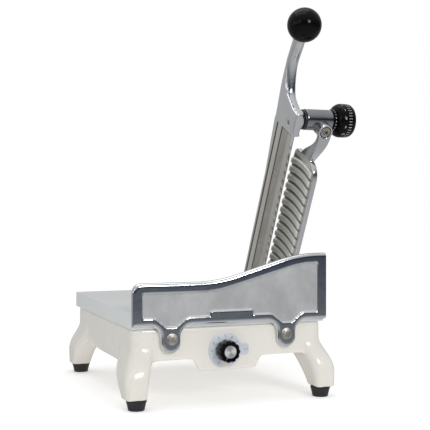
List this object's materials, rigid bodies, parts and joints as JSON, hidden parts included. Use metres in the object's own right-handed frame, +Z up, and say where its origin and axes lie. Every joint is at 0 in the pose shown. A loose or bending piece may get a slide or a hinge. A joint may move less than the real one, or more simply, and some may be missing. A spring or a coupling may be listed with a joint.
{
  "type": "lever food slicer",
  "caption": "Counter-top manual lever slicer: cast base on legs, board, front fence, hinged knife arm with ribbed gauge plate, graduated thickness knob and rotary dial.",
  "frame": {"origin": "on the table, at the centre of the rectangle of the four rubber feet", "axes": "+X right along the front fence, +Y to the back, +Z up"},
  "size_m": [0.3233, 0.2885, 0.461],
  "materials": {
    "cream_enamel": "glossy baked enamel",
    "white_board": "satin, fine sawn grain",
    "polished_cast": "mirror polished rims, as-cast panels",
    "foot_rubber": "moulded, slightly shiny",
    "black_plastic": "glossy",
    "brass_bush": "turned",
    "knife_steel": "ground",
    "fastener_steel": "bright plated",
    "scale_print": "printed foil",
    "spun_aluminium": "spun"
  },
  "bodies": {
    "base": {"base_casting": "cream_enamel", "foot_front_left": "foot_rubber", "foot_front_right": "foot_rubber", "foot_rear_left": "foot_rubber", "foot_rear_right": "foot_rubber", "foot_screws": "fastener_steel", "cutting_board": "white_board", "board_screws": "fastener_steel", "front_fence": "polished_cast", "fence_bolts": "fastener_steel", "fence_nuts": "fastener_steel", "dial_plate": "scale_print", "dial_bushing": "brass_bush", "dial_nut": "fastener_steel", "control_housing": "black_plastic", "hinge_bushing_outer": "brass_bush", "hinge_bushing_inner": "brass_bush", "return_spring": "fastener_steel", "rest_bumper": "foot_rubber", "down_stop_screw": "fastener_steel", "down_stop_nut": "fastener_steel"},
    "dial": {"dial_shaft": "fastener_steel", "dial_knob": "black_plastic", "dial_cap": "spun_aluminium"},
    "arm": {"hinge_shaft": "fastener_steel", "stop_lever": "fastener_steel", "arm_casting": "polished_cast", "knife_blade": "knife_steel", "knife_screws": "fastener_steel", "shaft_washer": "fastener_steel", "shaft_nut": "fastener_steel", "handle_ball": "black_plastic", "handle_stud": "fastener_steel", "thickness_spindle": "fastener_steel", "stop_ring": "foot_rubber", "guide_pin": "fastener_steel", "spindle_lock_screw": "fastener_steel"},
    "gauge": {"slide_block": "polished_cast", "keeper_screw": "fastener_steel", "gauge_plate": "polished_cast", "gauge_screw": "fastener_steel"},
    "knob": {"knob_insert": "brass_bush", "scale_collar": "black_plastic", "thickness_knob": "black_plastic", "knob_grub_screw": "fastener_steel"}
  },
  "joints": [
    {"name": "arm_hinge", "type": "hinge", "parent": "base", "child": "arm", "pos_m": [0.07, 0.115, 0.071], "axis": [1, 0, 0], "range_deg": [0, 49], "stiffness_Nm_per_rad": 2.2, "springref_deg": -68.75},
    {"name": "gauge_slide", "type": "slide", "parent": "arm", "child": "gauge", "axis": [1, 0, 0], "range_m": [0, 0.012]},
    {"name": "knob_turn", "type": "hinge", "parent": "gauge", "child": "knob", "pos_m": [0.178, -0.03991, 0.32614], "axis": [1, 0, 0], "range_deg": [0, 1080]},
    {"name": "dial_turn", "type": "hinge", "parent": "base", "child": "dial", "pos_m": [-0.0072, -0.128, 0.0588], "axis": [0, 1, 0], "range_deg": [0, 300]}
  ],
  "couplings": [
    {"joint": "knob_turn", "follows": "gauge_slide", "rad_per_m": 1570.8}
  ]
}
